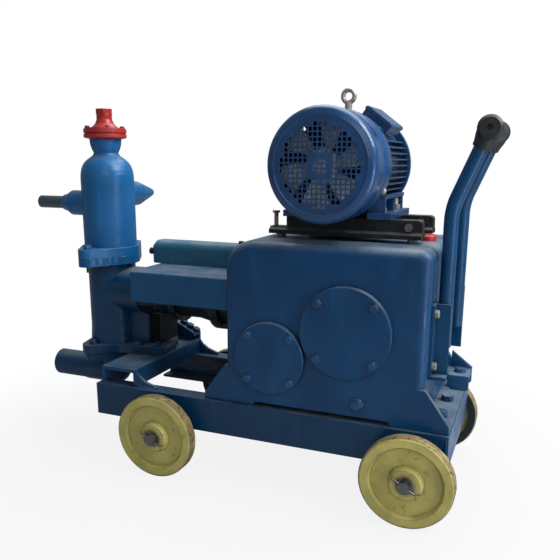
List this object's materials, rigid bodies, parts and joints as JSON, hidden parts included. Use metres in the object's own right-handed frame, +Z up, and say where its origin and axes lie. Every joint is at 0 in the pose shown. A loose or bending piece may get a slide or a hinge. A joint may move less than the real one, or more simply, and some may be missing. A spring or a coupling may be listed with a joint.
{
  "type": "grout pump",
  "caption": "Wheeled piston grout pump: bottle air vessel over a valve chest, plunger guard, gearbox with the motor on slide rails on top, rail chassis, bent push handle.",
  "frame": {"origin": "floor level, under the middle of the overall length and width", "axes": "+X along the chassis to the push handle, +Y to the belt drive side, +Z up"},
  "size_m": [1.209, 0.492, 0.899],
  "materials": {
    "enamel_dark_blue": "gloss machine enamel, worn",
    "enamel_bright_blue": "gloss machine enamel",
    "motor_blue": "gloss enamel",
    "wheel_iron": "pale paint with rust",
    "slide_rail_black": "rough black casting",
    "bare_steel": "oiled, lightly rusted",
    "red_enamel": "gloss red enamel",
    "grip_black": "matt",
    "belt_rubber": "matt",
    "red_plastic": "satin",
    "black_plastic": "satin"
  },
  "bodies": {
    "machine": {"air_vessel": "enamel_bright_blue", "axle_blocks": "enamel_dark_blue", "axle_washers_and_pins": "bare_steel", "axles": "bare_steel", "bearing_cover_bolts": "bare_steel", "belt_guard": "enamel_dark_blue", "bracket_bolts": "bare_steel", "cross_members": "enamel_dark_blue", "delivery_stubs": "bare_steel", "drain_plug": "bare_steel", "drive_belt": "belt_rubber", "fan_cowl": "motor_blue", "gauge_seal": "red_enamel", "gearbox_foot_bolts": "bare_steel", "gearbox_housing": "enamel_dark_blue", "gearbox_input_shaft": "bare_steel", "gearbox_pulley": "slide_rail_black", "handle_grip": "grip_black", "handle_tubes": "enamel_dark_blue", "handle_yoke": "enamel_dark_blue", "large_bearing_cover": "enamel_dark_blue", "lifting_eye": "bare_steel", "motor_foot_bolts": "bare_steel", "motor_frame": "motor_blue", "oil_filler_cap": "red_plastic", "plunger_cylinder": "enamel_dark_blue", "plunger_guard": "enamel_dark_blue", "pump_saddle": "enamel_dark_blue", "pump_studs_and_nuts": "bare_steel", "rinse_tank": "enamel_dark_blue", "side_rails": "enamel_dark_blue", "slide_rail_bolts": "bare_steel", "slide_rails": "slide_rail_black", "small_bearing_cover": "enamel_dark_blue", "suction_pipe": "enamel_dark_blue", "tank_plugs": "black_plastic", "terminal_box": "motor_blue", "tow_bracket": "enamel_dark_blue", "valve_chest": "enamel_dark_blue"},
    "pump_end_near_wheel": {"pump_end_near_wheel": "wheel_iron"},
    "pump_end_far_wheel": {"pump_end_far_wheel": "wheel_iron"},
    "handle_end_near_wheel": {"handle_end_near_wheel": "wheel_iron"},
    "handle_end_far_wheel": {"handle_end_far_wheel": "wheel_iron"},
    "rotor": {"motor_rotor": "bare_steel", "motor_pulley": "slide_rail_black"}
  },
  "joints": [
    {"name": "pump_end_near_wheel_spin", "type": "hinge", "parent": "machine", "child": "pump_end_near_wheel", "pos_m": [-0.1245, -0.211, 0.1], "axis": [0, 1, 0], "continuous": true},
    {"name": "pump_end_far_wheel_spin", "type": "hinge", "parent": "machine", "child": "pump_end_far_wheel", "pos_m": [-0.1245, 0.211, 0.1], "axis": [0, 1, 0], "continuous": true},
    {"name": "handle_end_near_wheel_spin", "type": "hinge", "parent": "machine", "child": "handle_end_near_wheel", "pos_m": [0.4755, -0.211, 0.1], "axis": [0, 1, 0], "continuous": true},
    {"name": "handle_end_far_wheel_spin", "type": "hinge", "parent": "machine", "child": "handle_end_far_wheel", "pos_m": [0.4755, 0.211, 0.1], "axis": [0, 1, 0], "continuous": true},
    {"name": "rotor_spin", "type": "hinge", "parent": "machine", "child": "rotor", "pos_m": [0.2675, 0, 0.733], "axis": [0, 1, 0], "continuous": true}
  ]
}
